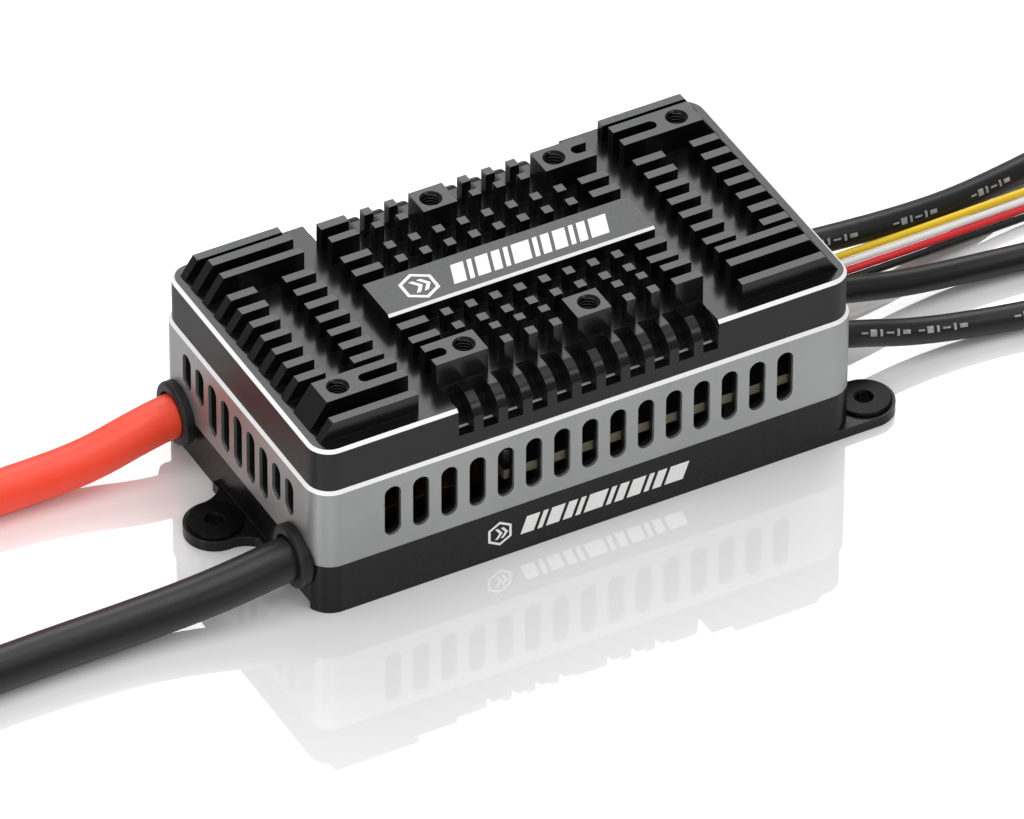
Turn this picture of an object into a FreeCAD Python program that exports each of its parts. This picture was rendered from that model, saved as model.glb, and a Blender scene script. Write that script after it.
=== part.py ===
import FreeCAD, Part
import math, os
import Sketcher
from FreeCAD import Vector as V, Placement, Rotation

# Electronic speed controller for a large brushless motor: finned top cover, slotted
# middle frame, mounting tray, power and control boards, leads.  Millimetres.
# +X points to the three motor leads, -Y is the front long side, +Z is up.
# Origin: centre of the tray's underside.

doc = FreeCAD.newDocument("speed_controller")
sh = doc.addObject("Spreadsheet::Sheet", "sheet")
SIZES = [
    ("body_length", 130.0), ("body_width", 72.2), ("corner_radius", 5.85),
    ("tray_height", 12.6), ("frame_height", 20.1), ("frame_top", 32.7),
    ("wall_thickness", 2.2), ("edge_step", 0.7), ("tray_floor", 2.4),
    ("tray_wall", 2.4), ("end_recess", 1.2), ("recess_half", 32.0),
    ("cover_side_top", 42.65), ("base_top", 43.35), ("fin_low", 47.95), ("fin_high", 49.6),
    ("fin_width", 2.2), ("fin_pitch", 5.1), ("pin_pitch", 5.85), ("pin_length", 2.15),
    ("groove_width", 3.6), ("notch_bottom", 36.2),
    ("vent_width", 3.9), ("vent_pitch", 6.73), ("vent_low", 16.3), ("vent_high", 29.3),
    ("end_vent_width", 3.8), ("end_vent_pitch", 5.85), ("end_vent_low", 15.6),
    ("end_vent_short", 19.6), ("end_vent_high", 28.8),
    ("ear_thickness", 2.5), ("ear_radius", 6.9), ("ear_centre", 70.7), ("ear_side", 29.2),
    ("ear_hole", 1.7), ("bush_radius", 6.2), ("bush_neck", 3.15), ("bush_top", 3.35),
    ("tap_radius", 2.1), ("tap_mouth", 2.5), ("tap_depth", 9.0),
    ("tap_outer", 53.3), ("tap_middle", 23.4), ("tap_inner", 6.4), ("tap_side", 23.3),
    ("lead_level", 11.2), ("power_side", 26.8), ("power_od", 9.8), ("phase_pitch", 15.0),
    ("phase_od", 6.0), ("signal_side", 7.5), ("signal_level", 6.6), ("signal_od", 1.7),
    ("signal_step", 1.72), ("post_radius", 4.0), ("post_in_x", 56.0), ("post_in_y", 14.0),
    ("post_out_x", 56.5), ("post_out_y", 28.2), ("screw_radius", 1.45),
    ("board_thickness", 2.4), ("power_board_level", 18.1), ("power_board_length", 70.5),
    ("power_board_width", 66.0), ("control_thickness", 1.6), ("control_level", 8.0),
    ("control_length", 54.0), ("control_width", 58.0),
    ("mosfet_height", 1.1), ("pad_thickness", 0.9), ("pad_length", 66.0), ("pad_width", 45.0),
    ("cap_radius", 7.0), ("cap_length", 28.0), ("cap_level", 25.5), ("cap_pitch", 15.0),
]
for i, (alias, value) in enumerate(SIZES):
    sh.set("A%d" % (i + 1), alias)
    sh.set("B%d" % (i + 1), repr(value))
    sh.setAlias("B%d" % (i + 1), alias)
doc.recompute()


def g(alias):
    return float(getattr(sh, alias))


parts = {}


def finish(name, obj):
    obj.Label = name
    parts[name] = obj
    return obj


def feature(name, shape, place=None):
    """A sub-part made with Part's own functions."""
    f = doc.addObject("Part::Feature", name)
    f.Shape = shape
    if place is not None:
        f.Placement = place
    return finish(name, f)


def box(x0, x1, y0, y1, z0, z1):
    return Part.makeBox(x1 - x0, y1 - y0, z1 - z0, V(x0, y0, z0))


def cyl(r, h, p, d=V(0, 0, 1)):
    return Part.makeCylinder(r, h, V(*p), d)


def prism_z(points, z0, z1):
    w = Part.makePolygon([V(x, y, z0) for x, y in points] + [V(points[0][0], points[0][1], z0)])
    return Part.Face(w).extrude(V(0, 0, z1 - z0))


def prism_y(points, y0, y1):
    w = Part.makePolygon([V(x, y0, z) for x, z in points] + [V(points[0][0], y0, points[0][1])])
    return Part.Face(w).extrude(V(0, y1 - y0, 0))


def rounded_box(hx, hy, z0, z1, r, cx=0.0, cy=0.0):
    b = box(cx - hx, cx + hx, cy - hy, cy + hy, z0, z1)
    es = [e for e in b.Edges if abs(e.Vertexes[0].Z - e.Vertexes[-1].Z) > (z1 - z0) * 0.9]
    return b.makeFillet(r, es) if r > 0 else b


def stadium_z(x0, x1, y, half, z0, z1):
    """A slot with round ends between x0 and x1."""
    s = box(x0 + half, x1 - half, y - half, y + half, z0, z1)
    return s.fuse([cyl(half, z1 - z0, (x0 + half, y, z0)), cyl(half, z1 - z0, (x1 - half, y, z0))]).removeSplitter()


def revolve_x(profile, cy, cz):
    """profile is (x, radius) pairs of a closed outline, turned about the X axis through cy, cz."""
    w = Part.makePolygon([V(x, r, 0) for x, r in profile] + [V(profile[0][0], profile[0][1], 0)])
    s = Part.Face(w).revolve(V(0, 0, 0), V(1, 0, 0), 360)
    s.translate(V(0, cy, cz))
    return s


# ---------------------------------------------------------------- PartDesign helpers
def new_body(name):
    b = doc.addObject("PartDesign::Body", name)
    return finish(name, b)


def origin_plane(b, role):
    return [o for o in b.Origin.OriginFeatures if o.Role == role][0]


def new_sketch(b, name, role="XY_Plane", offset=None):
    sk = b.newObject("Sketcher::SketchObject", name)
    sk.AttachmentSupport = (origin_plane(b, role), [""])
    sk.MapMode = "FlatFace"
    if offset is not None:
        sk.setExpression(".AttachmentOffset.Base.z", offset)
    return sk


def rect(sk, length, width, lx, ly, cx=0.0, cy=0.0, centred=True):
    """A rectangle whose length and width follow the sheet."""
    n = sk.GeometryCount
    x0, x1, y0, y1 = cx - lx / 2, cx + lx / 2, cy - ly / 2, cy + ly / 2
    pts = [(x0, y0), (x1, y0), (x1, y1), (x0, y1)]
    for k in range(4):
        a, c = pts[k], pts[(k + 1) % 4]
        sk.addGeometry(Part.LineSegment(V(a[0], a[1], 0), V(c[0], c[1], 0)), False)
    for k in range(4):
        sk.addConstraint(Sketcher.Constraint("Coincident", n + k, 2, n + (k + 1) % 4, 1))
    sk.addConstraint(Sketcher.Constraint("Horizontal", n))
    sk.addConstraint(Sketcher.Constraint("Horizontal", n + 2))
    sk.addConstraint(Sketcher.Constraint("Vertical", n + 1))
    sk.addConstraint(Sketcher.Constraint("Vertical", n + 3))
    c = sk.addConstraint(Sketcher.Constraint("DistanceX", n, 1, n, 2, lx))
    sk.setExpression("Constraints[%d]" % c, length)
    c = sk.addConstraint(Sketcher.Constraint("DistanceY", n + 1, 1, n + 1, 2, ly))
    sk.setExpression("Constraints[%d]" % c, width)
    if centred:
        sk.addConstraint(Sketcher.Constraint("Symmetric", n, 1, n + 2, 1, -1, 1))
    else:
        sk.addConstraint(Sketcher.Constraint("DistanceX", -1, 1, n, 1, x0))
        sk.addConstraint(Sketcher.Constraint("DistanceY", -1, 1, n, 1, y0))


def circle(sk, x, y, r, expr=None):
    n = sk.addGeometry(Part.Circle(V(x, y, 0), V(0, 0, 1), r), False)
    c = sk.addConstraint(Sketcher.Constraint("Radius", n, r))
    if expr:
        sk.setExpression("Constraints[%d]" % c, expr)


def slot_shape(sk, cx, y0, y1, w):
    """An upright slot with round ends."""
    r = w / 2
    a, b = y0 + r, y1 - r
    sk.addGeometry(Part.LineSegment(V(cx + r, a, 0), V(cx + r, b, 0)), False)
    sk.addGeometry(Part.Arc(V(cx + r, b, 0), V(cx, y1, 0), V(cx - r, b, 0)), False)
    sk.addGeometry(Part.LineSegment(V(cx - r, b, 0), V(cx - r, a, 0)), False)
    sk.addGeometry(Part.Arc(V(cx - r, a, 0), V(cx, y0, 0), V(cx + r, a, 0)), False)


def pad(b, sk, name, length):
    p = b.newObject("PartDesign::Pad", name)
    p.Profile = sk
    p.setExpression("Length", length)
    doc.recompute()
    return p


def pocket(b, sk, name, length=None, through=False, reverse=False, middle=False):
    p = b.newObject("PartDesign::Pocket", name)
    p.Profile = sk
    if through:
        p.Type = "ThroughAll"
    else:
        p.setExpression("Length", length)
    p.Reversed = reverse
    p.Midplane = middle
    if p.BaseFeature and p.BaseFeature.Shape.isNull():
        raise RuntimeError(p.BaseFeature.Name + " is empty: " + " ".join(p.BaseFeature.State))
    before = p.BaseFeature.Shape.Volume if p.BaseFeature else 0
    doc.recompute()
    if before and not p.Shape.Volume < before - 1e-6:
        p.Reversed = not reverse
        doc.recompute()
    if before and not p.Shape.Volume < before - 1e-6:
        raise RuntimeError(name + " cuts nothing")
    return p


def edge_fillet(b, base, name, radius, test):
    f = b.newObject("PartDesign::Fillet", name)
    names = ["Edge%d" % (i + 1) for i, e in enumerate(base.Shape.Edges) if test(e)]
    f.Base = (base, names)
    f.setExpression("Radius", radius)
    doc.recompute()
    return f


def upright(x, y, tol=0.6):
    def test(e):
        p, q = e.Vertexes[0].Point, e.Vertexes[-1].Point
        return abs(p.z - q.z) > 1 and abs(p.x - q.x) < 1e-4 and abs(p.y - q.y) < 1e-4 and abs(abs(p.x) - x) < tol and abs(abs(p.y) - y) < tol
    return test


HX, HY, RC = g("body_length") / 2, g("body_width") / 2, g("corner_radius")
LL, PS = g("lead_level"), g("power_side")

# ---------------------------------------------------------------- base tray
tray = new_body("base_tray")
sk = new_sketch(tray, "tray_outline")
rect(sk, "sheet.body_length", "sheet.body_width", 2 * HX, 2 * HY)
block = pad(tray, sk, "tray_block", "sheet.tray_height")
block = edge_fillet(tray, block, "tray_corners", "sheet.corner_radius", upright(HX, HY))
sk = new_sketch(tray, "tray_ears")
EC, ER, ES = g("ear_centre"), g("ear_radius"), g("ear_side")


def ear_outline(sk, s, cy, up, down):
    """An ear on the end at s times X, centred at cy.  up and down say whether that flank flares into the wall."""
    xi = s * (HX - 3.0) if s < 0 else HX - RC - 1.0
    a = V(s * EC, cy + ER, 0)
    c = V(s * EC, cy - ER, 0)
    tip = V(s * (EC + ER), cy, 0)
    k = g("end_recess") if s < 0 else 0.0
    wall = s * (HX - k)
    pts = []
    if up:
        # a concave flare from the flank to the wall
        r = abs(s * EC - wall)
        f0 = V(s * (abs(wall) + r), cy + ER, 0)
        f1 = V(wall, cy + ER + r * 0.75, 0)
        fm = V(s * (abs(wall) + r * 0.36), cy + ER + r * 0.18, 0)
        top = [Part.Arc(f0, fm, f1), Part.LineSegment(f1, V(xi, f1.y, 0))]
        yt = f1.y
        a = f0
    else:
        top = [Part.LineSegment(a, V(xi, cy + ER, 0))]
        yt = cy + ER
    if down:
        r = abs(s * EC - wall)
        f0 = V(s * (abs(wall) + r), cy - ER, 0)
        f1 = V(wall, cy - ER - r * 0.75, 0)
        fm = V(s * (abs(wall) + r * 0.36), cy - ER - r * 0.18, 0)
        low = [Part.LineSegment(V(xi, f1.y, 0), f1), Part.Arc(f1, fm, f0)]
        yb = f1.y
        c = f0
    else:
        low = [Part.LineSegment(V(xi, cy - ER, 0), c)]
        yb = cy - ER
    for e in [Part.Arc(c, tip, a)] + top + [Part.LineSegment(V(xi, yt, 0), V(xi, yb, 0))] + low:
        sk.addGeometry(e, False)


ear_outline(sk, -1, 0.0, True, True)
ear_outline(sk, 1, -ES, True, False)
ear_outline(sk, 1, ES, False, True)
ears = pad(tray, sk, "tray_ear_plates", "sheet.ear_thickness")
# the -X end is stepped back between its corner posts, above the ear plate
sk = new_sketch(tray, "tray_step", "XY_Plane", "sheet.ear_thickness")
sx = g("end_recess")
for e in [((-HX - 1, -32), (-HX + sx, -32)), ((-HX + sx, -32), (-HX + sx, 32)), ((-HX + sx, 32), (-HX - 1, 32)), ((-HX - 1, 32), (-HX - 1, -32))]:
    sk.addGeometry(Part.LineSegment(V(e[0][0], e[0][1], 0), V(e[1][0], e[1][1], 0)), False)
pocket(tray, sk, "tray_end_step", "sheet.tray_height", reverse=True)
# the same step below, beside the ear
sk = new_sketch(tray, "tray_step_low")
yy = ER + (EC - HX + sx) * 0.75
for a, b in ((-32.0, -yy), (yy, 32.0)):
    for e in [((-HX - 1, a), (-HX + sx, a)), ((-HX + sx, a), (-HX + sx, b)), ((-HX + sx, b), (-HX - 1, b)), ((-HX - 1, b), (-HX - 1, a))]:
        sk.addGeometry(Part.LineSegment(V(e[0][0], e[0][1], 0), V(e[1][0], e[1][1], 0)), False)
pocket(tray, sk, "tray_end_step_low", "sheet.ear_thickness", reverse=True)
# the hollow
sk = new_sketch(tray, "tray_hollow", "XY_Plane", "sheet.tray_floor")
x0, x1, yh = -HX + sx + g("tray_wall"), HX - g("tray_wall"), HY - g("tray_wall")
for e in [((x0, -yh), (x1, -yh)), ((x1, -yh), (x1, yh)), ((x1, yh), (x0, yh)), ((x0, yh), (x0, -yh))]:
    sk.addGeometry(Part.LineSegment(V(e[0][0], e[0][1], 0), V(e[1][0], e[1][1], 0)), False)
hollow = pocket(tray, sk, "tray_cavity", "sheet.tray_height", reverse=True)
hollow = edge_fillet(tray, hollow, "tray_inner_corners", "sheet.corner_radius - sheet.tray_wall",
                     lambda e: upright(x1, yh, 0.1)(e) or upright(-x0, yh, 0.1)(e))
sk = new_sketch(tray, "tray_post_circles", "XY_Plane", "sheet.tray_floor")
POSTS = [(-g("post_in_x"), g("post_in_y")), (-g("post_in_x"), -g("post_in_y")), (g("post_out_x"), g("post_out_y")), (g("post_out_x"), -g("post_out_y"))]
for x, y in POSTS:
    circle(sk, x, y, g("post_radius"), "sheet.post_radius")
pad(tray, sk, "tray_posts", "sheet.tray_height - sheet.tray_floor")
sk = new_sketch(tray, "tray_post_holes")
for x, y in POSTS:
    circle(sk, x, y, g("screw_radius") + 0.2, "sheet.screw_radius + 0.2")
pocket(tray, sk, "tray_screw_holes", through=True, reverse=True)
sk = new_sketch(tray, "tray_head_seats")
for x, y in POSTS:
    circle(sk, x, y, 3.1)
pocket(tray, sk, "tray_screw_seats", "sheet.tray_floor - 0.5", reverse=True)
sk = new_sketch(tray, "tray_ear_holes")
for x, y in ((-EC, 0), (EC, -ES), (EC, ES)):
    circle(sk, x, y, g("bush_neck") + 0.03, "sheet.bush_neck + 0.03")
pocket(tray, sk, "tray_ear_bores", "sheet.ear_thickness", reverse=True)


def lead_holes(b, prefix):
    """Round openings for the lead grommets in both ends."""
    sk = new_sketch(b, prefix + "_lead_circles", "YZ_Plane")
    for y in (PS, -PS):
        circle(sk, y, LL, 6.3)
    p = b.newObject("PartDesign::Pocket", prefix + "_power_holes")
    p.Profile = sk
    p.Length = HX + 5
    p.Reversed = False
    doc.recompute()
    if p.Shape.BoundBox.XMin > -1 or not cut_side(p, -1):
        p.Reversed = True
        doc.recompute()
    sk = new_sketch(b, prefix + "_phase_circles", "YZ_Plane")
    for k in (-1, 0, 1):
        circle(sk, k * g("phase_pitch"), LL, 4.35)
    q = b.newObject("PartDesign::Pocket", prefix + "_phase_holes")
    q.Profile = sk
    q.Length = HX + 5
    q.Reversed = False
    doc.recompute()
    if not cut_side(q, 1):
        q.Reversed = True
        doc.recompute()
    if not (cut_side(p, -1) and cut_side(q, 1)):
        raise RuntimeError("lead holes missed " + prefix)


def cut_side(p, s):
    """Whether this pocket removed material on the side s of the YZ plane."""
    d = p.BaseFeature.Shape.cut(p.Shape)
    return d.Volume > 1 and d.BoundBox.Center.x * s > 10


lead_holes(tray, "tray")
sk = new_sketch(tray, "tray_signal_slot", "YZ_Plane")
slot_shape(sk, g("signal_side"), g("signal_level") - 3.75, g("signal_level") + 3.75, 2.5)
p = tray.newObject("PartDesign::Pocket", "tray_signal_hole")
p.Profile = sk
p.Length = HX + 5
p.Reversed = False
doc.recompute()
if not cut_side(p, 1):
    p.Reversed = True
    doc.recompute()

# ---------------------------------------------------------------- middle frame
frame = new_body("middle_frame")
sk = new_sketch(frame, "frame_outline", "XY_Plane", "sheet.tray_height")
rect(sk, "sheet.body_length", "sheet.body_width", 2 * HX, 2 * HY)
fb = pad(frame, sk, "frame_block", "sheet.frame_height")
fb = edge_fillet(frame, fb, "frame_corners", "sheet.corner_radius", upright(HX, HY))
ft = g("frame_top")
sk = new_sketch(frame, "frame_inside", "XY_Plane", "sheet.tray_height")
rect(sk, "sheet.body_length - 2 * sheet.wall_thickness", "sheet.body_width - 2 * sheet.wall_thickness", 2 * HX - 4.4, 2 * HY - 4.4)
inner = pocket(frame, sk, "frame_opening", "sheet.frame_height", reverse=True)
inner = edge_fillet(frame, inner, "frame_inner_corners", "sheet.corner_radius - sheet.wall_thickness", upright(HX - 2.2, HY - 2.2))
ch = frame.newObject("PartDesign::Chamfer", "frame_top_chamfer")
ch.Base = (inner, ["Edge%d" % (i + 1) for i, e in enumerate(inner.Shape.Edges) if all(abs(v.Z - ft) < 1e-4 for v in e.Vertexes)
                   and (max(abs(v.X) for v in e.Vertexes) > HX - 1e-3 or max(abs(v.Y) for v in e.Vertexes) > HY - 1e-3)])
ch.setExpression("Size", "sheet.edge_step")
doc.recompute()
sk = new_sketch(frame, "side_vents", "XZ_Plane")
for k in range(-7, 8):
    slot_shape(sk, k * g("vent_pitch"), g("vent_low"), g("vent_high"), g("vent_width"))
pocket(frame, sk, "side_vent_slots", through=True, middle=True)
sk = new_sketch(frame, "end_vents", "YZ_Plane")
for k in range(-4, 5):
    low = g("end_vent_low") if abs(k) <= 2 else g("end_vent_short")
    slot_shape(sk, k * g("end_vent_pitch"), low, g("end_vent_high"), g("end_vent_width"))
pocket(frame, sk, "end_vent_slots", through=True, middle=True)
lead_holes(frame, "frame")

# ---------------------------------------------------------------- finned cover
ST, BT, LO, HI = g("cover_side_top"), g("base_top"), g("fin_low"), g("fin_high")
E0 = BT - 1.0
step = g("edge_step")
chx = BT - ST


def cover_shape():
    hx, hy = HX - step, HY - step
    base = rounded_box(hx, hy, ft, BT, RC - step)
    top = [e for e in base.Edges if all(abs(v.Z - BT) < 1e-4 for v in e.Vertexes)]
    base = base.makeChamfer(chx, top)
    # larger convex rounding of the long edges between the notches
    ramps = []
    for s in (-1, 1):
        y = lambda v: s * v
        a = Part.Arc(V(-31.2, y(29.6), BT), V(-31.2, y(33.4), BT - 0.95), V(-31.2, y(hy + 0.02), BT - 3.4)).toShape()
        pts = [V(-31.2, y(hy + 0.02), BT - 3.4), V(-31.2, y(hy + 3), BT - 3.4), V(-31.2, y(hy + 3), BT + 2), V(-31.2, y(29.6), BT + 2), V(-31.2, y(29.6), BT)]
        w = Part.Wire([a] + [Part.LineSegment(p, q).toShape() for p, q in zip(pts, pts[1:])])
        ramps.append(Part.Face(w).extrude(V(62.4, 0, 0)))
    grooves = []
    nb = g("notch_bottom")
    gw = g("groove_width") / 2
    for s in (-1, 1):
        for k in range(-5, 6):
            xc = k * g("pin_pitch")
            x0 = xc - gw
            a = Part.Arc(V(x0, s * 27.4, BT), V(x0, s * 29.1, 38.75), V(x0, s * 33.0, nb)).toShape()
            pts = [V(x0, s * 33.0, nb), V(x0, s * (hy + 3), nb), V(x0, s * (hy + 3), BT + 2), V(x0, s * 27.4, BT + 2), V(x0, s * 27.4, BT)]
            w = Part.Wire([a] + [Part.LineSegment(p, q).toShape() for p, q in zip(pts, pts[1:])])
            grooves.append(Part.Face(w).extrude(V(2 * gw, 0, 0)))
    fw = g("fin_width") / 2
    fins = []
    xs_low, xs_high = -59.0, -57.8
    slope = lambda z: -57.8 - (HI - z) * (62.0 - 57.8) / (HI - BT)

    def end_fin(x_in, y0, y1, z, x_out=None):
        if x_out is None:
            pts = [(slope(E0) if False else slope(BT), E0), (slope(BT), BT), (slope(z), z), (x_in, z), (x_in, E0)]
        else:
            pts = [(x_out, E0), (x_out, z), (x_in, z), (x_in, E0)]
        return prism_y(pts, y0, y1)

    left = []
    for yc in (-30.8, 30.8):
        left.append(end_fin(-38.7, yc - 1.05, yc + 1.05, LO))
    for k in range(-3, 4):
        yc = k * g("fin_pitch")
        left.append(end_fin(-52.5, yc - fw, yc + fw, LO))
        left.append(end_fin(-38.65, yc - fw, yc + fw, LO, -45.8))
    left.append(end_fin(-38.6, 24.7, 27.0, HI))
    left.append(end_fin(-38.6, 19.75, 21.8, HI))
    left.append(end_fin(-38.6, -27.0, -19.8, HI))
    half = Rotation(V(0, 0, 1), 180)

    def turned(s):
        t = s.copy()
        t.rotate(V(0, 0, 0), V(0, 0, 1), 180)
        return t

    centre = []
    pl = g("pin_length") / 2
    for x in (-20.48, -14.63, -8.78, -2.93, 2.93, 8.78, 14.63, 20.48):
        for y in (-15.3, -10.2, 10.2, 15.3):
            centre.append(box(x - pl, x + pl, y - 1.15, y + 1.15, E0, LO))
    for y in (-15.3, -10.2, 10.2, 15.3):
        centre.append(box(25.25, 31.9, y - 1.1, y + 1.1, E0, LO))
        centre.append(box(-31.9, -25.25, y - 1.1, y + 1.1, E0, LO))
    bar = box(-31.95, 31.95, -5.95, 5.95, E0, LO)
    bar = bar.makeChamfer(0.55, [e for e in bar.Edges if all(abs(v.Z - LO) < 1e-4 and abs(v.Y + 5.95) < 1e-4 for v in e.Vertexes)])
    centre.append(bar)
    front = []
    for y0, y1 in ((-21.8, -19.8), (-27.0, -24.7)):
        for x in (-14.63, -8.78, -2.93, 14.63, 20.48):
            front.append(box(x - pl, x + pl, y0, y1, E0, HI))
        front.append(box(25.3, 31.95, y0, y1, E0, HI))
    front.append(box(-31.95, -19.6, -27.0, -19.8, E0, HI))
    front.append(box(1.8, 9.9, -27.0, -19.8, E0, HI))
    fins = left + [turned(s) for s in left] + centre + front + [turned(s) for s in front]
    base = base.cut(ramps)
    base = base.cut(grooves)
    solid = base.multiFuse(fins).removeSplitter()
    tools = []
    TO, TM, TI, TS = g("tap_outer"), g("tap_middle"), g("tap_inner"), g("tap_side")
    for x, y in ((-TO, -TS), (-TM, -TS), (TI, -TS), (-TI, TS), (TM, TS), (TO, TS)):
        tools.append(cyl(g("tap_radius"), g("tap_depth") + 1, (x, y, HI - g("tap_depth"))))
        tools.append(Part.makeCone(g("tap_radius"), g("tap_mouth") + 0.2, g("tap_mouth") + 0.2 - g("tap_radius"), V(x, y, HI - (g("tap_mouth") - g("tap_radius")))))
    slots = [stadium_z(-48.3, -30.0, -23.35, 1.35, BT, HI + 2).common(box(-50, -38.0, -27, -19, BT, HI + 2)),
             stadium_z(-40.0, -27.7, -23.35, 1.35, BT, HI + 2).common(box(-33, -27, -27, -19, BT, HI + 2))]
    tools += slots + [turned(s) for s in slots]
    solid = solid.cut(tools)
    # inside: hollow under the plate, heat spreader down to the power devices, screw posts
    cav = rounded_box(60.0, 28.5, ft - 1, 36.5, 3.0)
    solid = solid.cut(cav)
    ped_low = g("power_board_level") + g("board_thickness") + g("mosfet_height") + g("pad_thickness")
    px0 = 16.25 - g("pad_length") / 2 - 0.5
    adds = [box(px0, px0 + g("pad_length") + 1, -g("pad_width") / 2 - 0.5, g("pad_width") / 2 + 0.5, ped_low, 37.0)]
    for x, y in POSTS:
        adds.append(cyl(g("post_radius"), 37.0 - g("tray_height"), (x, y, g("tray_height"))))
    solid = solid.multiFuse(adds).removeSplitter()
    solid = solid.cut([cyl(g("screw_radius") + 0.03, 16.0, (x, y, g("tray_height") - 0.5)) for x, y in POSTS])
    return solid


feature("heatsink_cover", cover_shape())

# ---------------------------------------------------------------- fixing hardware
bushes = []
for x, y in ((-EC, 0), (EC, -ES), (EC, ES)):
    r0, rn, rb, zt, ze = g("ear_hole"), g("bush_neck"), g("bush_radius"), g("bush_top"), g("ear_thickness")
    prof = [(r0 + 0.5, zt + 0.0), (rb - 0.35, zt), (rb, zt - 0.35), (rb, ze + 0.02), (rn, ze + 0.02), (rn, 0.05), (r0, 0.05), (r0, zt - 0.5)]
    w = Part.makePolygon([V(r, 0, z) for r, z in prof] + [V(prof[0][0], 0, prof[0][1])])
    s = Part.Face(w).revolve(V(0, 0, 0), V(0, 0, 1), 360)
    s.translate(V(x, y, 0))
    bushes.append(s)
feature("mounting_bushes", Part.makeCompound(bushes))

screws = []
for x, y in POSTS:
    head = Part.makeCylinder(2.9, 1.35, V(x, y, 0.5))
    sock = Part.makeCylinder(1.0, 0.9, V(x, y, 0.4))
    shank = Part.makeCylinder(g("screw_radius"), 25.0, V(x, y, 1.5))
    screws.append(head.fuse(shank).removeSplitter().cut(sock))
feature("case_screws", Part.makeCompound(screws))

# ---------------------------------------------------------------- grommets
rb = g("power_od") / 2 + 0.04
for name, y in (("input_grommet_positive", PS), ("input_grommet_negative", -PS)):
    outline = [(-59.8, rb), (-59.8, 7.1), (-60.1, 7.3), (-61.15, 7.3), (-61.15, 6.22), (-65.02, 6.22), (-65.02, 7.2), (-66.6, 7.2), (-67.1, 7.0), (-67.4, 6.5), (-67.4, rb + 0.25), (-66.3, rb)]
    feature(name, revolve_x(outline, y, LL))
rp = g("phase_od") / 2 + 0.04
for name, k in (("output_grommet_a", -1), ("output_grommet_b", 0), ("output_grommet_c", 1)):
    outline = [(60.4, rp), (60.4, 5.2), (62.55, 5.2), (62.55, 4.28), (65.02, 4.28), (65.02, 5.6), (66.7, 5.6), (67.3, 5.0), (67.3, rp + 0.2), (66.2, rp)]
    feature(name, revolve_x(outline, k * g("phase_pitch"), LL))


def slot_x(x0, x1, y, z0, z1, w):
    """An upright bar with round ends, along X."""
    r = w / 2
    s = box(x0, x1, y - r, y + r, z0 + r, z1 - r)
    return s.fuse([Part.makeCylinder(r, x1 - x0, V(x0, y, z0 + r), V(1, 0, 0)), Part.makeCylinder(r, x1 - x0, V(x0, y, z1 - r), V(1, 0, 0))]).removeSplitter()


SY, SZ = g("signal_side"), g("signal_level")
sg = slot_x(62.55, 65.1, SY, SZ - 3.7, SZ + 3.7, 2.4).fuse(slot_x(65.02, 66.6, SY, SZ - 4.4, SZ + 4.4, 3.6)).removeSplitter()
sg = sg.cut(slot_x(60, 70, SY, SZ - 2 * g("signal_step") + 0.0, SZ + 2 * g("signal_step") - 0.0, 1.78))
feature("signal_grommet", sg)

# ---------------------------------------------------------------- boards and what is on them
PB0, PBT = g("power_board_level"), g("board_thickness")
b = new_body("power_board")
sk = new_sketch(b, "power_board_outline", "XY_Plane", "sheet.power_board_level")
rect(sk, "sheet.power_board_length", "sheet.power_board_width", 70.5, 66.0, cx=16.25, centred=False)
pad(b, sk, "power_board_plate", "sheet.board_thickness")
PSO = [(-15.5, -27.0), (-15.5, 27.0), (48.0, -27.0), (48.0, 27.0)]
sk = new_sketch(b, "power_board_holes", "XY_Plane", "sheet.power_board_level")
for x, y in PSO:
    circle(sk, x, y, 1.35)
pocket(b, sk, "power_board_bores", "sheet.board_thickness", reverse=True)

b = new_body("control_board")
sk = new_sketch(b, "control_board_outline", "XY_Plane", "sheet.control_level")
rect(sk, "sheet.control_length", "sheet.control_width", 54.0, 58.0, cx=17.0, centred=False)
pad(b, sk, "control_board_plate", "sheet.control_thickness")
CSO = [(-6.0, -24.0), (-6.0, 24.0), (40.0, -24.0), (40.0, 24.0)]
sk = new_sketch(b, "control_board_holes", "XY_Plane", "sheet.control_level")
for x, y in CSO:
    circle(sk, x, y, 1.35)
pocket(b, sk, "control_board_bores", "sheet.control_thickness", reverse=True)

CB0, CBT, TF = g("control_level"), g("control_thickness"), g("tray_floor")
stand = []
for x, y in PSO:
    hexa = Part.Face(Part.makePolygon([V(x + 2.4 * math.cos(math.radians(60 * k)), y + 2.4 * math.sin(math.radians(60 * k)), TF) for k in range(7)])).extrude(V(0, 0, PB0 - TF))
    stand.append(hexa.cut(cyl(1.25, 6, (x, y, PB0 - 5))))
for x, y in CSO:
    hexa = Part.Face(Part.makePolygon([V(x + 2.4 * math.cos(math.radians(60 * k)), y + 2.4 * math.sin(math.radians(60 * k)), TF) for k in range(7)])).extrude(V(0, 0, CB0 - TF))
    stand.append(hexa.cut(cyl(1.25, 5, (x, y, CB0 - 4))))
feature("board_standoffs", Part.makeCompound(stand))
bs = []
for pts, z in ((PSO, PB0 + PBT), (CSO, CB0 + CBT)):
    for x, y in pts:
        s = cyl(2.1, 1.4, (x, y, z)).fuse(cyl(1.2, z - (z - 5.4), (x, y, z - 5.4))).removeSplitter()
        bs.append(s.cut(cyl(0.8, 0.8, (x, y, z + 0.8))))
feature("board_screws", Part.makeCompound(bs))

mos = []
for i in range(8):
    for yc in (-18.0, -9.5, 9.5, 18.0):
        x = -11.5 + i * 7.9
        mos.append(box(x - 3.1, x + 3.1, yc - 2.6, yc + 2.6, PB0 + PBT, PB0 + PBT + g("mosfet_height")))
feature("mosfets", Part.makeCompound(mos))

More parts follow.
